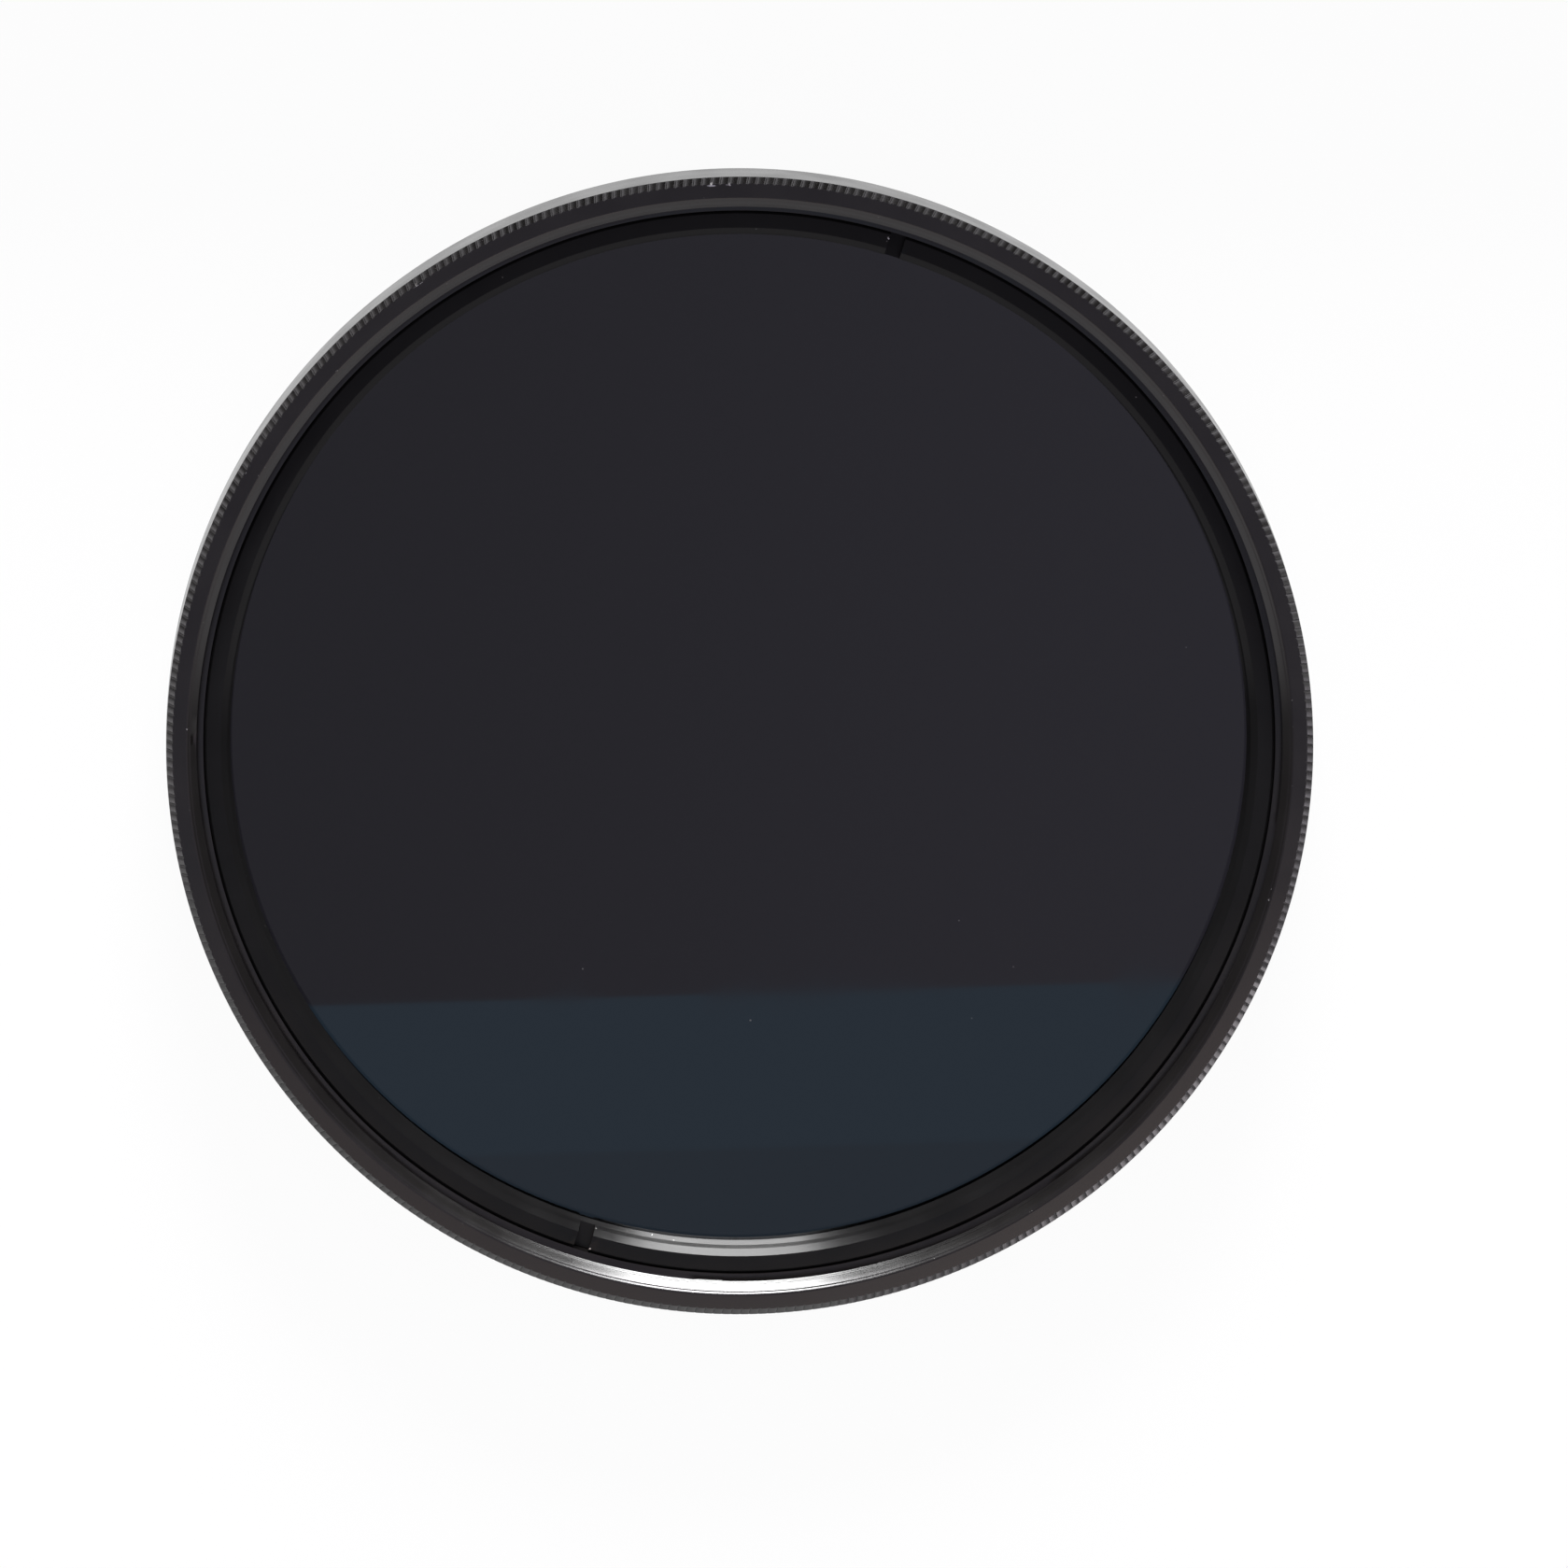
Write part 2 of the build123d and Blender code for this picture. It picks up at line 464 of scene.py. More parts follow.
def use_group(tree, group, **values):
    """Places a node group in a material with its own values."""
    placed = add_node(tree, "ShaderNodeGroup", node_tree=group)
    for key, value in values.items():
        placed.inputs[key.replace("_", " ")].default_value = value
    return placed.outputs


def new_material(name):
    """Starts a material and returns it with its tree and Principled BSDF."""
    material = bpy.data.materials.new(name)
    material.use_nodes = True
    return material, material.node_tree, material.node_tree.nodes["Principled BSDF"]


def link(tree, value, socket):
    """Links a value to a socket."""
    tree.links.new(value, socket)


def anodised_material(name, color, bare_color, roughness, gloss, line_depth, wear_amount):
    """Dyed black anodised aluminium with turning lines, worn edges and a little dust."""
    deep_share = 0.8
    faded_share = 1.35
    dust_color = (0.25, 0.24, 0.23, 1.0)
    dust_cover = 0.5
    variation_range = (0.2, 0.8)
    roughness_spread = 0.04
    material, tree, shader = new_material(name)
    turned = use_group(tree, turned_lines_group())
    worn = use_group(tree, edge_wear_group(), Amount=wear_amount)["Mask"]
    dust = use_group(tree, dust_group(), Cells_per_metre=900.0, Speck_size=0.05, Share=0.12)
    deep = (*[deep_share * c for c in color], 1.0)
    faded = (*[faded_share * c for c in color], 1.0)
    dyed = blend_color(tree, turned["Variation"], deep, faded)
    dust_share = calculate(tree, "MULTIPLY", dust["Specks"], dust_cover)
    dusty = blend_color(tree, dust_share, dyed, dust_color)
    link(tree, blend_color(tree, worn, dusty, (*bare_color, 1.0)), shader.inputs["Base Color"])
    link(tree, worn, shader.inputs["Metallic"])
    roughness_range = (roughness - roughness_spread, roughness + roughness_spread)
    uneven = remap(tree, turned["Variation"], *variation_range, *roughness_range)
    link(tree, uneven, shader.inputs["Roughness"])
    bump = add_node(
        tree, "ShaderNodeBump", {"Strength": 0.35, "Distance": line_depth, "Height": turned["Height"]})
    link(tree, bump.outputs[0], shader.inputs["Normal"])
    shader.inputs["IOR"].default_value = 1.5
    shader.inputs["Specular IOR Level"].default_value = gloss
    return material


def glass_material(settings):
    """Dark coated glass, polished on its faces and ground at its edge."""
    speck_color = (0.5, 0.5, 0.5, 1.0)
    polished_roughness = 0.012
    smudge_roughness = 0.03
    ground_roughness = 0.55
    speck_roughness = 0.5
    material, tree, shader = new_material("dark_coated_glass")
    dust = use_group(tree, dust_group(), Cells_per_metre=260.0, Speck_size=0.022, Share=0.35)
    ground = add_node(tree, "ShaderNodeAttribute", attribute_name="edge_wear").outputs["Fac"]
    clear = (*settings.tint, 1.0)
    link(tree, blend_color(tree, dust["Specks"], clear, speck_color), shader.inputs["Base Color"])
    rough = calculate(tree, "MULTIPLY_ADD", dust["Smudges"], smudge_roughness, polished_roughness)
    rough = calculate(tree, "MULTIPLY_ADD", ground, ground_roughness, rough)
    rough = calculate(tree, "MULTIPLY_ADD", dust["Specks"], speck_roughness, rough)
    link(tree, rough, shader.inputs["Roughness"])
    shader.inputs["Transmission Weight"].default_value = 1.0
    shader.inputs["IOR"].default_value = 1.52
    shader.inputs["Specular Tint"].default_value = (*settings.coating, 1.0)
    return material


# Pieces

def settle(piece, node, material):
    """Puts a finished piece in the frame in place of its CAD node."""
    piece.data.materials.append(material)
    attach(piece, "root")
    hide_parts(node)


class LENSFILTER_OT_ring(Operator):
    """Build the knurled filter ring with both lens threads"""

    bl_idname = "lens_filter.ring"
    bl_label = "Filter ring"

    finish = {"roughness": 0.22, "gloss": 0.5, "line_depth": 0.001 * MM, "wear_amount": 0.5}
    # Stretches of worn groove ends, whose bare metal is set where glints of light show, so partly real wear
    # and partly painted glints, as (degrees clockwise from the top of the picture, spread, strength)
    glint_and_wear_stretches = ((-2.93, 0.3, 3.0), (-1.11, 0.3, 1.0),
                      (-33.0, 3.0, 1.1), (48.0, 2.0, 0.9), (-60.0, 3.0, 0.8))
    # Wear at the other groove ends, and the factor that makes all of it uneven
    groove_wear = 0.3
    uneven_range = (0.5, 1.1)
    wear_seed = 5
    # Wear along other edges
    rim_wear = 0.3
    spigot_wear = 0.2
    inner_wear = 0.1
    tooth_wear = 0.1
    crest_wear = 0.4
    lead_in_wear = 0.2
    mouth_wear = 0.6
    # Half of the angle over which the start of the front thread cuts into the lead-in, and its depth
    start_reach = math.radians(1.2)
    start_depth = 0.12 * MM
    # Rise of the narrow step at the top of the lead-in, and the shares of it that have a ring of points
    ledge_rise = 0.04 * MM
    ledge_shares = (0.0, 0.2, 0.8, 1.0)
    # Rounded edge at the mouth as (width, share of its height) from the narrow step outwards
    mouth_steps = ((0.07 * MM, 0.57), (0.2 * MM, 1.0), (0.23 * MM, 1.0))
    # Shares of the pitch along a thread, and of its depth from the crest
    thread_form = ((0.0, 0.0), (0.25, 0.0), (0.354, 0.333), (0.458, 0.667),
                   (0.5625, 1.0), (0.6875, 1.0), (0.792, 0.667), (0.896, 0.333))
    # Share of the pitch by which the male thread is turned on
    rear_thread_turn = 0.1
    # Step from the male thread to the shoulder, flat of the run-out groove, and its depth below the thread
    shoulder_step = 0.05 * MM
    relief_flat = 0.2 * MM
    relief_margin = 0.02 * MM
    # Where the plain rim and the plain front face end, in reaches of a groove past the bevel
    rim_margin = 1.7
    face_margin = 3.0

    def execute(self, context):
        sizes = context.scene.lens_filter.ring
        turning = Turning(np.arange(sizes.knurl_teeth) * math.tau / sizes.knurl_teeth)
        rim_ring = self.turn_rear(turning, sizes)
        face_ring = self.turn_front(turning, sizes)
        self.cut_knurl(turning, sizes, face_ring, rim_ring)
        piece = turning.make("knurled_filter_ring", SHARP_ANGLE)
        material = anodised_material(
            "black_anodised_ring", sizes.anodise_color, sizes.bare_color, **self.finish)
        settle(piece, "filter_ring", material)
        return {"FINISHED"}

    def turn_rear(self, turning, sizes):
        """Turns the outside behind the knurl, the male thread, the lip and the glass pocket."""
        edge = sizes.edge_round
        rim = RING_HIGH.x
        bottom = RING_LOW.z
        lip_level = GLASS_LOW.z
        relief = THREAD_MAJOR - sizes.relief_depth
        thread_end = SHOULDER_LEVEL - sizes.relief_width
        spigot_end = THREAD_MAJOR - sizes.spigot_chamfer
        _, downward = self.groove_reach(sizes)
        start, _ = turning.turn(rounded([
            (rim, RING_HIGH.z - sizes.bevel_height - self.rim_margin * downward, 0.0, 0.0),
            (rim, SHOULDER_LEVEL + sizes.rear_chamfer, edge, self.rim_wear),
            (rim - sizes.rear_chamfer, SHOULDER_LEVEL, edge, self.rim_wear),
            (THREAD_MAJOR + self.shoulder_step, SHOULDER_LEVEL, edge, self.inner_wear),
            (relief, thread_end + self.relief_flat, edge, 0.0),
            (relief, thread_end, 0.0, 0.0),
        ]))
        depth = relief + self.relief_margin - THREAD_MAJOR
        profile = [(share + self.rear_thread_turn, THREAD_MAJOR + depth * part,
                    self.crest_wear if part == 0.0 else 0.0) for share, part in self.thread_form]
        turning.thread(
            bottom, thread_end, (spigot_end, relief), sizes.thread_pitch, 0.0, profile,
            lambda height, radius: np.minimum(radius, spigot_end + height - bottom))
        turning.turn(rounded([
            (spigot_end, bottom, 0.0, self.spigot_wear),
            (sizes.lip_radius, bottom, edge, self.spigot_wear),
            (sizes.lip_radius, lip_level, edge, self.inner_wear),
            (sizes.pocket_radius, lip_level, 0.0, 0.0),
            (sizes.pocket_radius, sizes.front_floor, edge, 0.0),
            (THREAD_MINOR, sizes.front_floor - sizes.run_out, 0.0, 0.0),
        ]))
        return start

    def turn_front(self, turning, sizes):
        """Cuts the female thread with its lead-in and turns the front face up to the knurl."""
        front = RING_HIGH.z
        top = front - sizes.mouth_edge - self.ledge_rise
        lead_in_foot = front - sizes.lead_in_height
        slope = sizes.lead_in / sizes.lead_in_height
        mouth = THREAD_MINOR + slope * (top - lead_in_foot)
        ledge = mouth + sizes.mouth_ledge
        depth = THREAD_MAJOR - THREAD_MINOR
        inward, _ = self.groove_reach(sizes)
        profile = [(share, THREAD_MINOR + depth * part, 0.0) for share, part in self.thread_form]
        turning.thread(
            sizes.front_floor - sizes.run_out, lead_in_foot, (THREAD_MINOR, THREAD_MINOR),
            sizes.thread_pitch, sizes.front_thread_start, profile)
        foot_ring = turning.ring(THREAD_MINOR, lead_in_foot)
        mouth_ring = turning.ring(mouth, top, self.lead_in_wear)
        turn = np.angle(np.exp(1j * (turning.angles - sizes.thread_start_angle)))
        notch = self.start_depth * (np.abs(turn) < self.start_reach)
        middle_ring = turning.ring((THREAD_MINOR + mouth) / 2, (lead_in_foot + top) / 2 - notch)
        turning.join(foot_ring, middle_ring)
        turning.join(middle_ring, mouth_ring)
        _, face_ring = turning.turn([
            *[(mouth + share * sizes.mouth_ledge, top + share * self.ledge_rise, share * self.mouth_wear)
              for share in self.ledge_shares],
            *[(ledge + width, front + (share - 1.0) * sizes.mouth_edge, self.mouth_wear)
              for width, share in self.mouth_steps],
            (RING_HIGH.x - sizes.bevel_width - self.face_margin * inward, front, 0.0),
        ])
        return face_ring

    def groove_reach(self, sizes):
        """How far the roots of the knurl's grooves run past the bevel, into the face and down the rim."""
        slant = math.hypot(sizes.bevel_width, sizes.bevel_height)
        return sizes.groove_depth * slant / sizes.bevel_height, sizes.groove_depth * slant / sizes.bevel_width

    def cut_knurl(self, turning, sizes, face_ring, rim_ring):
        """Joins the front face to the rim with a bevel that slanting V grooves divide into teeth."""
        front = RING_HIGH.z
        rim = RING_HIGH.x
        crest = rim - sizes.bevel_width
        heel = front - sizes.bevel_height
        inward, downward = self.groove_reach(sizes)
        half_groove = sizes.groove_share * math.pi / sizes.knurl_teeth
        lean = math.tan(sizes.groove_lean) / rim
        foot_angles = turning.angles + lean * (sizes.bevel_width + inward)
        foot = turning.ring(crest - inward, front, self.foot_wear_and_glints(foot_angles), foot_angles)
        tail = turning.ring(rim, heel - downward)
        sides = []
        for turn in (-half_groove, half_groove):
            lower_angles = turning.angles + turn
            upper_angles = turning.angles + lean * sizes.bevel_width + turn
            upper = turning.ring(crest, front, self.tooth_wear, upper_angles)
            lower = turning.ring(rim, heel, self.tooth_wear, lower_angles)
            sides.append((upper, lower))
        (near_upper, near_lower), (far_upper, far_lower) = sides
        next_upper = np.roll(near_upper, -1)
        next_lower = np.roll(near_lower, -1)
        turning.join(face_ring, foot)
        turning.fill(foot, near_upper, near_lower, tail)
        turning.fill(foot, tail, far_lower, far_upper)
        turning.fill(foot, far_upper, next_upper, np.roll(foot, -1))
        turning.fill(far_upper, far_lower, next_lower, next_upper)
        turning.fill(far_lower, tail, np.roll(tail, -1), next_lower)
        turning.join(tail, rim_ring)

    def foot_wear_and_glints(self, angles):
        """Wear at the inner ends of the grooves, uneven and strong in a few stretches, where its bare metal
        also stands in for glints of light: painted glints.
        """
        clockwise = math.pi / 2 - angles
        uneven = np.random.default_rng(self.wear_seed).uniform(*self.uneven_range, angles.shape)
        wear = np.full(angles.shape, self.groove_wear)
        for place, spread, strength in self.glint_and_wear_stretches:
            turn = np.angle(np.exp(1j * (clockwise - math.radians(place))))
            # Painted glints: these stretches add bare metal where the groove ends catch the light
            wear += strength * np.exp(-((turn / math.radians(spread)) ** 2))
        return wear * uneven


class LENSFILTER_OT_glass(Operator):
    """Build the dark glass disc with its ground bevels"""

    bl_idname = "lens_filter.glass"
    bl_label = "Dark glass"

    columns = 360
    sharp_angle = math.radians(20.0)
    # Narrow lip between a polished face and its ground bevel
    lip_width = 0.02 * MM
    lip_height = 0.01 * MM

    def execute(self, context):
        settings = context.scene.lens_filter.glass
        radius = GLASS_HIGH.x
        face = radius - settings.bevel
        turning = Turning(np.arange(self.columns) * math.tau / self.columns)
        lower, upper = turning.turn([
            (face, GLASS_LOW.z, 0.0),
            (face + self.lip_width, GLASS_LOW.z + self.lip_height, 1.0),
            (radius, GLASS_LOW.z + settings.bevel, 1.0),
            (radius, GLASS_HIGH.z - settings.bevel, 1.0),
            (face + self.lip_width, GLASS_HIGH.z - self.lip_height, 1.0),
            (face, GLASS_HIGH.z, 0.0),
        ])
        turning.faces.append(lower.tolist())
        turning.faces.append(upper.tolist())
        piece = turning.make("dark_glass_disc", self.sharp_angle)
        settle(piece, "nd_glass", glass_material(settings))
        return {"FINISHED"}


class LENSFILTER_OT_retainer(Operator):
    """Build the slotted retaining ring that holds the glass"""

    bl_idname = "lens_filter.retainer"
    bl_label = "Retaining ring"

    finish = {"roughness": 0.16, "gloss": 0.11, "line_depth": 0.001 * MM, "wear_amount": 0.45}
    arc_columns = 200
    slot_columns = 3
    # Share of a ridge's pitch over which the wall falls back below its crest
    ridge_slope_share = 0.63
    # Wear along the edges of the face, the top of the wall, the ridges and the edges of the slots
    face_wear = 0.5
    wall_wear = 0.4
    ridge_wear = 0.7
    slot_wear = 0.8

    def execute(self, context):
        sizes = context.scene.lens_filter.retainer
        bare_color = context.scene.lens_filter.ring.bare_color
        bottom = RETAINER_LOW.z
        top = RETAINER_HIGH.z
        outer = RETAINER_HIGH.x
        floor = top - sizes.slot_depth
        wall_top = top - sizes.inner_chamfer_height
        mouth = sizes.opening_radius + sizes.wall_flare
        slope = sizes.wall_flare / (wall_top - bottom)
        edge = sizes.edge_round
        above, below = sizes.ridges

        def wall(height):
            return sizes.opening_radius + slope * (height - bottom)

        section = rounded([
            (wall(floor), floor, 0.0, 0.0),
            *self.ridge_points(wall, floor, bottom, below, sizes.ridge_depth),
            (sizes.opening_radius, bottom, 0.0, 0.0),
            (outer, bottom, 0.0, 0.0),
            (outer, floor, 0.0, 0.0),
            (outer, top - sizes.outer_chamfer, edge, self.face_wear),
            (outer - sizes.outer_chamfer, top, edge, self.face_wear),
            (mouth + sizes.inner_chamfer, top, edge, self.face_wear),
            (mouth, wall_top, 0.0, self.wall_wear),
            *self.ridge_points(wall, wall_top, floor, above, sizes.ridge_depth),
        ])
        floor_row = section.index((outer, floor, 0.0))
        shares = self.column_shares()
        turning = Turning(np.zeros(len(shares)))
        rows = []
        for radius, height, wear in section:
            angles = [self.column_angle(sizes, radius, *share) for share in shares]
            slot_wear = max(wear, self.slot_wear) if height > floor else wear
            column_wear = [slot_wear if self.beside_slot(share) else wear for share in shares]
            rows.append(turning.ring(radius, height, column_wear, angles))
        self.fill(turning, rows, shares, floor_row)
        piece = turning.make("slotted_retaining_ring", SHARP_ANGLE)
        material = anodised_material(
            "black_anodised_retainer", sizes.anodise_color, bare_color, **self.finish)
        settle(piece, "retaining_ring", material)
        return {"FINISHED"}

    def ridge_points(self, wall, high, low, count, depth):
        """Section points of saw-tooth ridges in a wall between two heights, without its two ends."""
        pitch = (high - low) / count
        points = []
        for i in range(count):
            root = high - (i + self.ridge_slope_share) * pitch
            points.append((wall(root) + depth, root, 0.0, 0.0))
            crest = high - (i + 1) * pitch
            points.append((wall(crest), crest, 0.0, self.ridge_wear))
        return points[:-1]

    def beside_slot(self, column):
        """Whether a column runs along the wall of a slot."""
        _, share, in_slot = column
        return share in (0.0, 1.0) and not in_slot

    def column_shares(self):
        """Columns as (half of the ring, share of its arc or slot, whether it is inside the slot)."""
        shares = []
        for half in (0, 1):
            shares += [(half, i / self.slot_columns, True) for i in range(1, self.slot_columns)]
            shares += [(half, i / self.arc_columns, False) for i in range(self.arc_columns + 1)]
        return shares

    def column_angle(self, sizes, radius, half, share, in_slot):
        """Angle of a column at a radius, with slot walls that are parallel."""
        middle = sizes.slot_angle + half * math.pi
        reach = math.asin(sizes.slot_width / 2 / radius)
        if in_slot:
            return middle + math.asin((2 * share - 1) * sizes.slot_width / 2 / radius)
        return middle + reach + share * (math.pi - 2 * reach)

    def fill(self, turning, rows, shares, floor_row):
        """Joins the columns, leaves the slots open above their floors and closes their walls."""
        grid = np.array(rows)
        count = grid.shape[1]
        for column in range(count):
            beyond = (column + 1) % count
            in_slot = shares[column][2] or shares[beyond][2]
            last = floor_row if in_slot else len(rows)
            for row in range(last):
                above = (row + 1) % len(rows)
                turning.faces.append([grid[row, column], grid[row, beyond],
                                      grid[above, beyond], grid[above, column]])
            if in_slot:
                turning.faces.append([grid[floor_row, column], grid[floor_row, beyond],
                                      grid[0, beyond], grid[0, column]])
            if self.beside_slot(shares[column]):
                turning.faces.append([grid[0, column], *grid[floor_row:, column]])


# Studio

class LENSFILTER_OT_studio(Operator):
    """Build the floor, the light and the camera"""

    bl_idname = "lens_filter.studio"
    bl_label = "Studio"

    # Floor, and how much of it glows where the camera or a reflection sees it
    floor_half = 3.0
    floor_roughness = 0.9
    seen_glow = 0.95
    reflected_glow = 0.8
    # Stretches of a direction's X, Y and Z over which the ceiling, the wall and the sky change
    ceiling_change = (-0.005, 0.04)
    wall_change = (-0.18, -0.3)
    sky_change = (0.6, 0.8)
    # Lights, with the strip's share of the softbox's power that makes it as bright
    softbox_place = (0.05, 0.9, 0.32)
    softbox_size = (0.36, 0.45)
    strip_place = (0.05, 0.74, 0.6)
    strip_size = (0.36, 0.22)
    strip_share = 0.49
    fill_place = (0.0, 0.1, 1.2)
    fill_size = (1.4, 1.4)
    # Overhead card in two stretches between three edges
    overhead_half = 0.07
    overhead_height = 0.6
    overhead_lean = math.radians(1.5)
    overhead_edges = (-0.1018, -0.1161, -0.15)
    overhead_colors = ((0.34, 0.51, 0.69), (0.32, 0.44, 0.58))
    # Arc cards as (name, centre, radii, edges in degrees clockwise from +Y, colour of each stretch)
    ground = (0.0, 0.0, 0.001)
    shade = (0.05, 0.045, 0.045)
    half_shade = (0.4, 0.38, 0.4)
    glow = (1.9, 1.85, 1.95)
    soft_glow = (1.5, 1.45, 1.5)
    arc_cards = (
        ("face_card", (0.0021, -0.0157, 0.1284), (0.0414, 0.075), (108, 125, 170, 200, 243),
         ((1.5, 1.25, 1.2), (1.9, 1.6, 1.5), (1.35, 1.15, 1.1), (1.15, 0.95, 0.9))),
        ("groove_card", ground, (0.05, 0.072), (-110, -40, 0, 72), (soft_glow, glow, glow)),
        ("left_shade", ground, (0.074, 0.26), (-110, -25), (shade,)),
        ("right_shade", ground, (0.074, 0.26), (25, 72), (shade,)),
        ("side_card", ground, (0.070, 0.14), (80, 95, 112), ((3.0, 2.85, 3.1), (4.0, 3.8, 4.1))),
        ("side_shade", ground, (0.044, 0.070), (80, 112), (half_shade,)),
        ("corner_card", ground, (0.060, 0.12), (112, 150, 166), ((4.0, 3.75, 3.95), (2.2, 2.1, 2.2))),
        ("corner_shade", ground, (0.044, 0.060), (112, 166), (half_shade,)),
    )
    arc_steps = 6
    # Upright flag that keeps the softbox off the knurl at the top of the picture
    flag_half = 0.07
    flag_distance = 0.075
    flag_heights = (0.0005, 0.025)
    flag_color = (0.02, 0.02, 0.02)
    sensor_width = 36.0

    def execute(self, context):
        settings = context.scene.lens_filter.studio
        context.scene.view_settings.view_transform = "Standard"
        self.lay_floor(context, settings)
        self.light_world(context, settings)
        self.hang_lights(context, settings)
        self.set_cards(context)
        self.place_camera(context, settings)
        return {"FINISHED"}

    def lay_floor(self, context, settings):
        """Lays a pale floor that stays white round the object and keeps its shadow."""
        half = self.floor_half
        corners = [(-half, -half, 0), (half, -half, 0), (half, half, 0), (-half, half, 0)]
        mesh = bpy.data.meshes.new("pale_floor")
        mesh.from_pydata(corners, [], [(0, 1, 2, 3)])
        floor = bpy.data.objects.new("pale_floor", mesh)
        context.scene.collection.objects.link(floor)
        material, tree, shader = new_material("pale_floor")
        shader.inputs["Base Color"].default_value = (*settings.floor_color, 1.0)
        shader.inputs["Roughness"].default_value = self.floor_roughness
        shader.inputs["Specular IOR Level"].default_value = 0.0
        path = add_node(tree, "ShaderNodeLightPath").outputs
        reflected = calculate(tree, "MAXIMUM", path["Is Glossy Ray"], path["Is Transmission Ray"])
        seen = calculate(tree, "MULTIPLY", path["Is Camera Ray"], self.seen_glow)
        white = {"Color": (1.0, 1.0, 1.0, 1.0), "Strength": 1.0}
        glow = add_node(tree, "ShaderNodeEmission", white).outputs[0]
        share = calculate(tree, "MAXIMUM", seen, calculate(tree, "MULTIPLY", reflected, self.reflected_glow))
        surface = add_node(tree, "ShaderNodeMixShader", {0: share, 1: shader.outputs[0], 2: glow}).outputs[0]
        link(tree, surface, tree.nodes["Material Output"].inputs["Surface"])
        mesh.materials.append(material)

    def light_world(self, context, settings):
        """Lights the scene from a pale wall, and dimly from the other sides and from straight above."""
        world = bpy.data.worlds.new("studio_world")
        world.use_nodes = True
        context.scene.world = world
        tree = world.node_tree
        background = tree.nodes["Background"]
        direction = add_node(tree, "ShaderNodeTexCoord").outputs["Generated"]
        split = add_node(tree, "ShaderNodeSeparateXYZ", {0: direction}).outputs
        across = remap(tree, split["X"], *self.ceiling_change)
        ceiling = blend_color(tree, across, (*settings.ceiling_left, 1.0), (*settings.ceiling_right, 1.0))
        ahead = remap(tree, split["Y"], *self.wall_change)
        sides = blend_color(tree, ahead, (*settings.side_color, 1.0), (*settings.wall_color, 1.0))
        above = remap(tree, split["Z"], *self.sky_change)
        sky = blend_color(tree, above, sides, ceiling)
        camera_ray = add_node(tree, "ShaderNodeLightPath").outputs["Is Camera Ray"]
        link(tree, blend_color(tree, camera_ray, sky, (1.0, 1.0, 1.0, 1.0)), background.inputs["Color"])

    def hang_lights(self, context, settings):
        """Hangs a softbox low beyond the top of the picture, a strip above it and a soft light overhead."""
        power = settings.softbox_power
        self.hang_light(context, "softbox", self.softbox_place, self.softbox_size, power)
        strip = self.hang_light(
            context, "softbox_top", self.strip_place, self.strip_size, self.strip_share * power)
        strip.visible_diffuse = False
        fill = self.hang_light(context, "overhead_fill", self.fill_place, self.fill_size, settings.fill_power)
        fill.visible_glossy = False
        fill.visible_transmission = False

    def hang_light(self, context, name, place, size, power):
        """Hangs one rectangular light that faces the object."""
        lamp = bpy.data.lights.new(name, "AREA")
        lamp.shape = "RECTANGLE"
        lamp.size, lamp.size_y = size
        lamp.energy = power
        light = bpy.data.objects.new(name, lamp)
        context.scene.collection.objects.link(light)
        place = Vector(place)
        turn = (-place).to_track_quat("-Z", "Y").to_matrix().to_4x4()
        light.matrix_world = Matrix.Translation(place) @ turn
        return light

    def set_cards(self, context):
        """Sets up the cards that the glass, the front face and the knurl reflect."""
        half = self.overhead_half
        lean = half * math.tan(self.overhead_lean)
        corners = [(side * half, edge + side * lean, self.overhead_height)
                   for edge in self.overhead_edges for side in (-1, 1)]
        self.set_card(context, "overhead_card", corners, [(0, 1, 3, 2), (2, 3, 5, 4)], self.overhead_colors)
        for card in self.arc_cards:
            self.set_arc_card(context, *card)
        half = self.flag_half
        low, high = self.flag_heights
        corners = [(side, self.flag_distance, height)
                   for side, height in ((-half, low), (half, low), (half, high), (-half, high))]
        flag = self.set_card(context, "dark_flag", corners, [(0, 1, 2, 3)], [self.flag_color])
        flag.visible_shadow = True

    def set_arc_card(self, context, name, centre, radii, edges, colors):
        """Sets up a level card in an arc, in stretches between angles in degrees clockwise from +Y."""
        steps = self.arc_steps
        corners = []
        faces = []
        stretches = []
        for number, (start, end) in enumerate(zip(edges, edges[1:])):
            for angle in np.radians(np.linspace(start, end, steps + 1)):
                across, along = math.sin(angle), math.cos(angle)
                corners += [(centre[0] + radius * across, centre[1] + radius * along, centre[2])
                            for radius in radii]
            first = 2 * number * (steps + 1)
            faces += [(i, i + 1, i + 3, i + 2) for i in range(first, first + 2 * steps, 2)]
            stretches += [colors[number]] * steps
        self.set_card(context, name, corners, faces, stretches)

    def set_card(self, context, name, corners, faces, colors):
        """Sets up a card that only reflections show, with one colour for each face."""
        mesh = bpy.data.meshes.new(name)
        mesh.from_pydata(corners, [], faces)
        card = bpy.data.objects.new(name, mesh)
        context.scene.collection.objects.link(card)
        finishes = list(dict.fromkeys(colors))
        for color in finishes:
            material, tree, shader = new_material(name)
            tree.nodes.remove(shader)
            lit = {"Color": (*color, 1.0), "Strength": 1.0}
            glow = add_node(tree, "ShaderNodeEmission", lit).outputs[0]
            link(tree, glow, tree.nodes["Material Output"].inputs["Surface"])
            mesh.materials.append(material)
        mesh.polygons.foreach_set("material_index", [finishes.index(color) for color in colors])
        card.visible_camera = False
        card.visible_diffuse = False
        card.visible_shadow = False
        return card

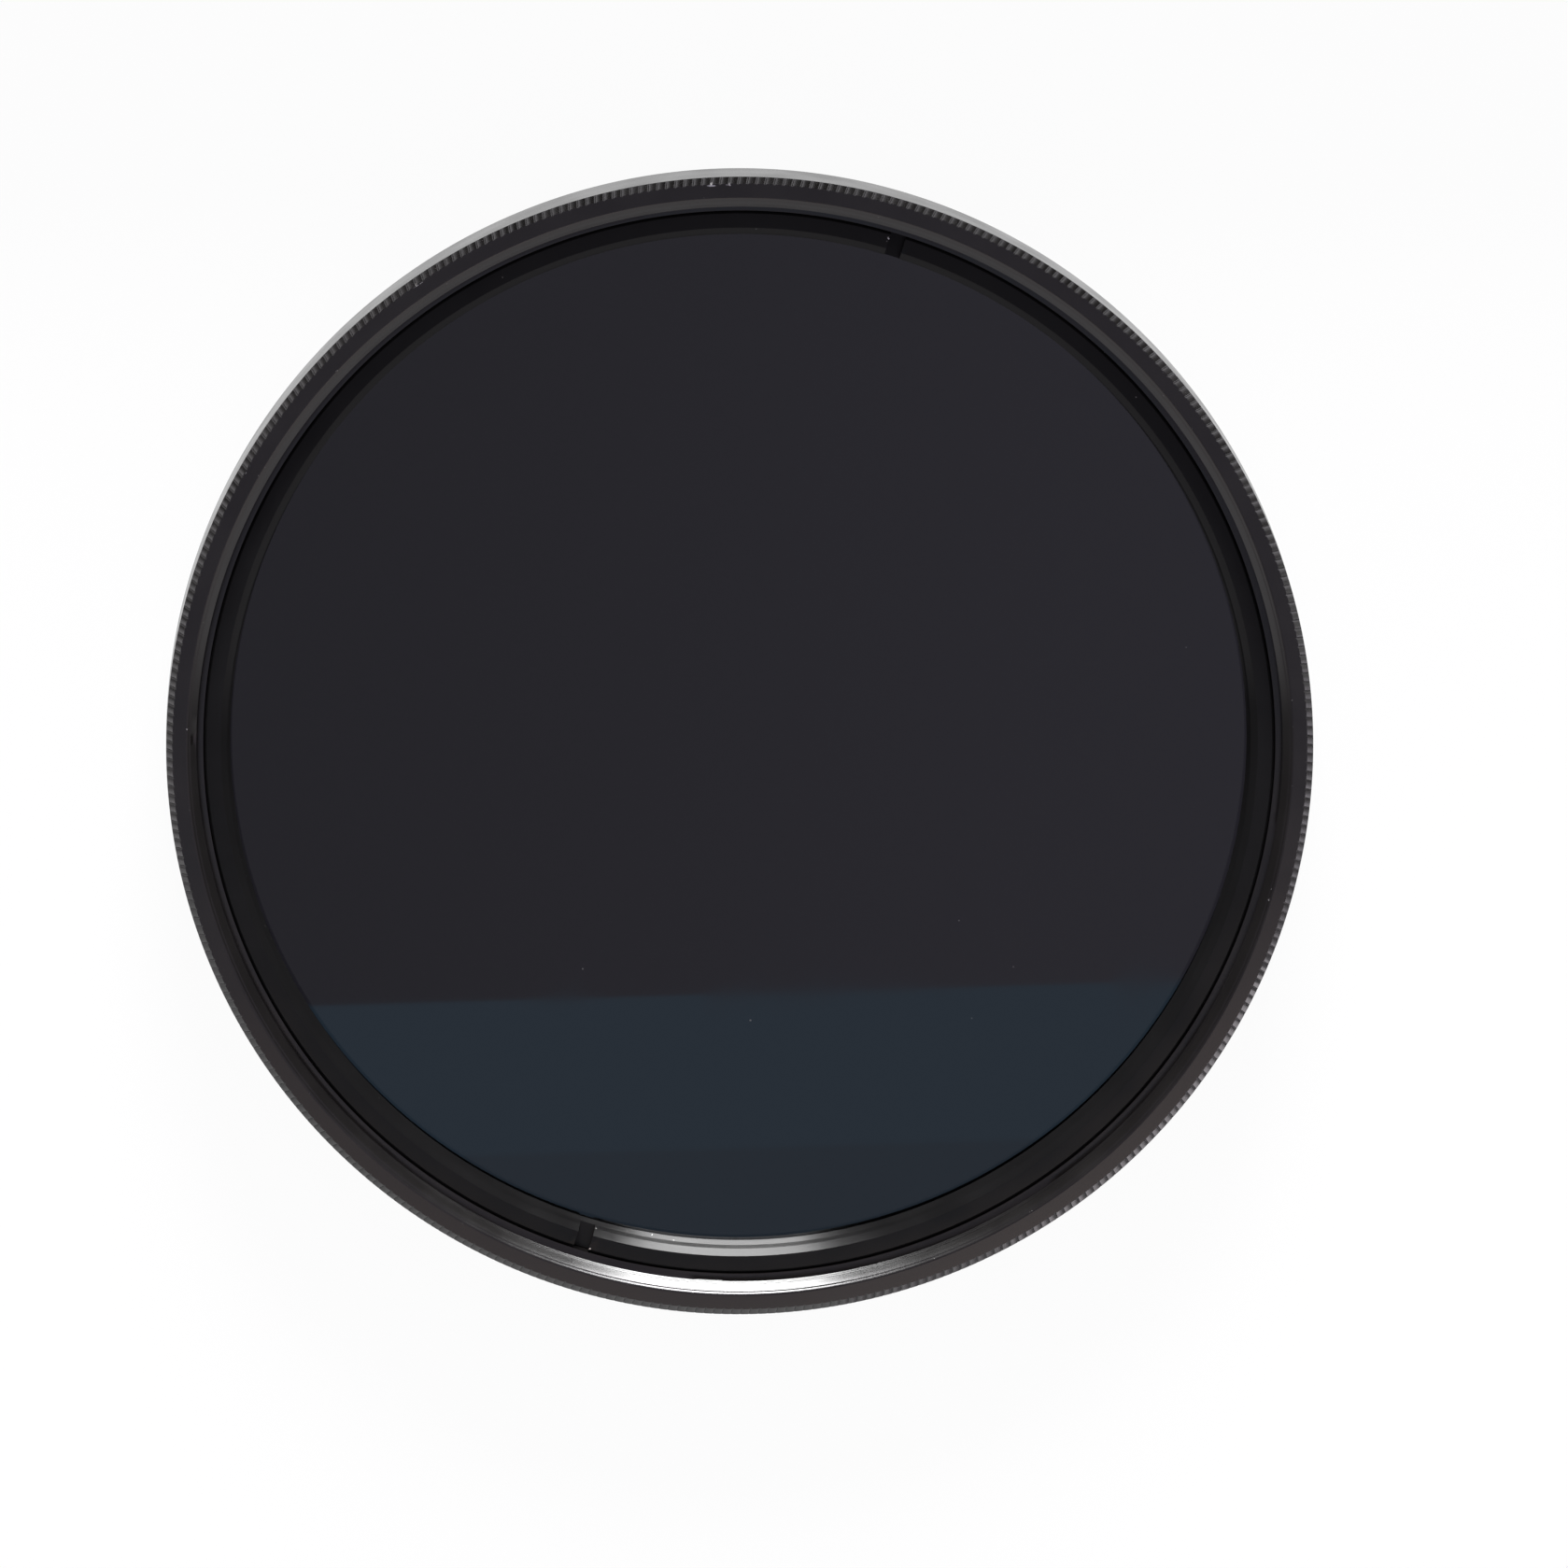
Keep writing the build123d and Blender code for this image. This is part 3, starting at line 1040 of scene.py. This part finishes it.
    def place_camera(self, context, settings):
        """Places the camera above the front face, leaning as in the photograph."""
        front_centre = Vector((0.0, 0.0, RING_HIGH.z))
        lean = Vector((-math.sin(settings.camera_sway), math.sin(settings.camera_tilt), 0.0))
        lean.z = math.sqrt(1.0 - lean.length_squared)
        place = front_centre + settings.camera_distance * lean
        aim = Vector((*settings.aim, RING_HIGH.z))
        back = (place - aim).normalized()
        right = Vector((0.0, 1.0, 0.0)).cross(back).normalized()
        upward = back.cross(right)
        data = bpy.data.cameras.new("camera")
        data.sensor_width = self.sensor_width
        data.lens = data.sensor_width * settings.camera_distance / settings.picture_width
        camera = bpy.data.objects.new("camera", data)
        context.scene.collection.objects.link(camera)
        turn = Matrix((right, upward, back)).transposed().to_4x4()
        camera.matrix_world = Matrix.Translation(place) @ turn
        context.scene.camera = camera


class LENSFILTER_PT_sidebar(Panel):
    """Lists the pieces of the lens filter and their sizes"""

    bl_idname = "LENSFILTER_PT_sidebar"
    bl_label = "Lens filter"
    bl_space_type = "VIEW_3D"
    bl_region_type = "UI"
    bl_category = "Lens Filter"

    def draw(self, context):
        settings = context.scene.lens_filter
        groups = ((LENSFILTER_OT_ring, settings.ring), (LENSFILTER_OT_glass, settings.glass),
                  (LENSFILTER_OT_retainer, settings.retainer), (LENSFILTER_OT_studio, settings.studio))
        for operator, group in groups:
            box = self.layout.box()
            box.operator(operator.bl_idname)
            for name in group.__annotations__:
                box.prop(group, name)


CLASSES = (
    FilterRingSettings,
    RetainingRingSettings,
    GlassSettings,
    StudioSettings,
    LensFilterSettings,
    LENSFILTER_OT_ring,
    LENSFILTER_OT_glass,
    LENSFILTER_OT_retainer,
    LENSFILTER_OT_studio,
    LENSFILTER_PT_sidebar,
)


def register():
    for cls in CLASSES:
        bpy.utils.register_class(cls)
    bpy.types.Scene.lens_filter = PointerProperty(type=LensFilterSettings)


def unregister():
    del bpy.types.Scene.lens_filter
    for cls in reversed(CLASSES):
        bpy.utils.unregister_class(cls)


def main():
    register()
    bpy.ops.lens_filter.ring()
    bpy.ops.lens_filter.glass()
    bpy.ops.lens_filter.retainer()
    bpy.ops.lens_filter.studio()


if __name__ == "__main__":
    main()
